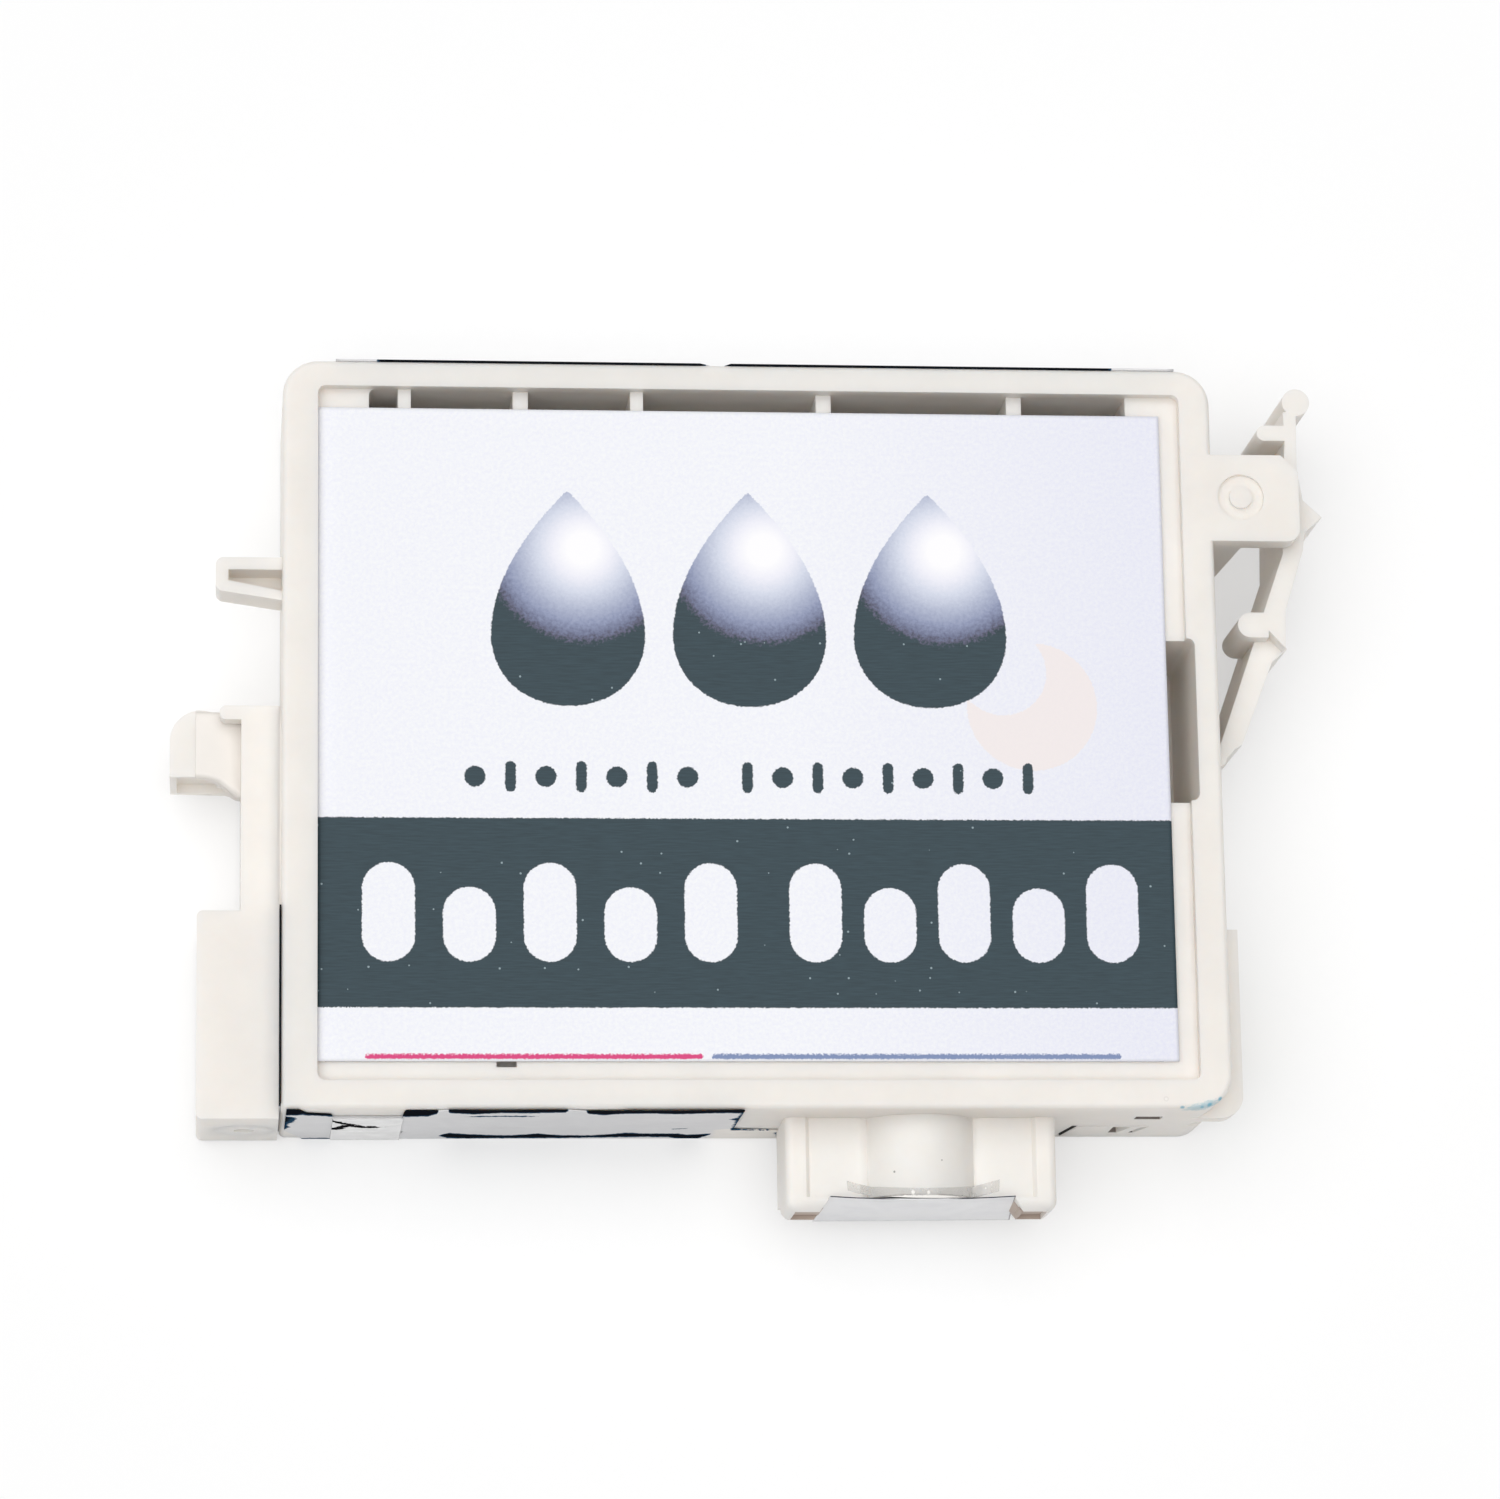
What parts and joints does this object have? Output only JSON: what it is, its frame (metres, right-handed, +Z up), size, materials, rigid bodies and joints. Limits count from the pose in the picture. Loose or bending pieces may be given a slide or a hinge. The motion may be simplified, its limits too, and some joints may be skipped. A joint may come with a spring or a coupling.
{
  "type": "inkjet ink cartridge",
  "caption": "Flat ink cartridge with a framed label, a springy latch lever, a hooked air valve block and a sealed supply port.",
  "frame": {"origin": "centre of the case's back, on the outer face of the wrap film, with the cartridge lying on its back", "axes": "+X along the length towards the latch lever, +Y across the case away from the supply port, +Z up through the thickness towards the label"},
  "size_m": [0.0763, 0.0558, 0.012],
  "materials": {
    "case_plastic": "satin",
    "valve_plastic": "satin",
    "clear_film": "gloss",
    "label_paper": "matt coated paper",
    "soft_rubber": "matt",
    "spring_steel": "drawn wire",
    "filter_mesh": "fine woven mesh",
    "breather_felt": "porous film",
    "port_film": "crinkled gloss",
    "board_laminate": "solder mask",
    "contact_gold": "plated",
    "dark_resin": "gloss",
    "wrap_foil": "crinkled silver film with black edges",
    "clear_tape": "gloss"
  },
  "bodies": {
    "case_body": {"case": "case_plastic", "air_valve_block": "case_plastic", "air_valve_cap": "case_plastic", "pressure_valve_cover": "case_plastic", "chamber_film": "clear_film", "paper_label": "label_paper", "pressure_membrane": "soft_rubber", "supply_seal": "soft_rubber", "pressure_spring": "spring_steel", "supply_spring": "spring_steel", "air_valve_spring": "spring_steel", "supply_filter": "filter_mesh", "breather_membrane": "breather_felt", "port_seal_film": "port_film", "memory_board": "board_laminate", "board_contacts": "contact_gold", "memory_chip": "dark_resin", "wrap_film": "wrap_foil", "tape_patch": "clear_tape"},
    "lever_body": {"latch_lever": "case_plastic"},
    "supply_valve_body": {"supply_valve": "valve_plastic"},
    "air_plunger_body": {"air_valve_plunger": "valve_plastic", "air_valve_seal": "soft_rubber"}
  },
  "joints": [
    {"name": "latch_lever_flex", "type": "hinge", "parent": "case_body", "child": "lever_body", "pos_m": [0.03115, -0.00095, 0.005], "axis": [0, 0, 1], "range_deg": [0, 8.5], "stiffness_Nm_per_rad": 0.05},
    {"name": "supply_valve_slide", "type": "slide", "parent": "case_body", "child": "supply_valve_body", "axis": [0, 1, 0], "range_m": [0, 0.0016], "stiffness_N_per_m": 200, "deforming": ["supply_spring"]},
    {"name": "air_valve_slide", "type": "slide", "parent": "case_body", "child": "air_plunger_body", "axis": [0, 1, 0], "range_m": [0, 0.0012], "stiffness_N_per_m": 150, "deforming": ["air_valve_spring"]}
  ]
}
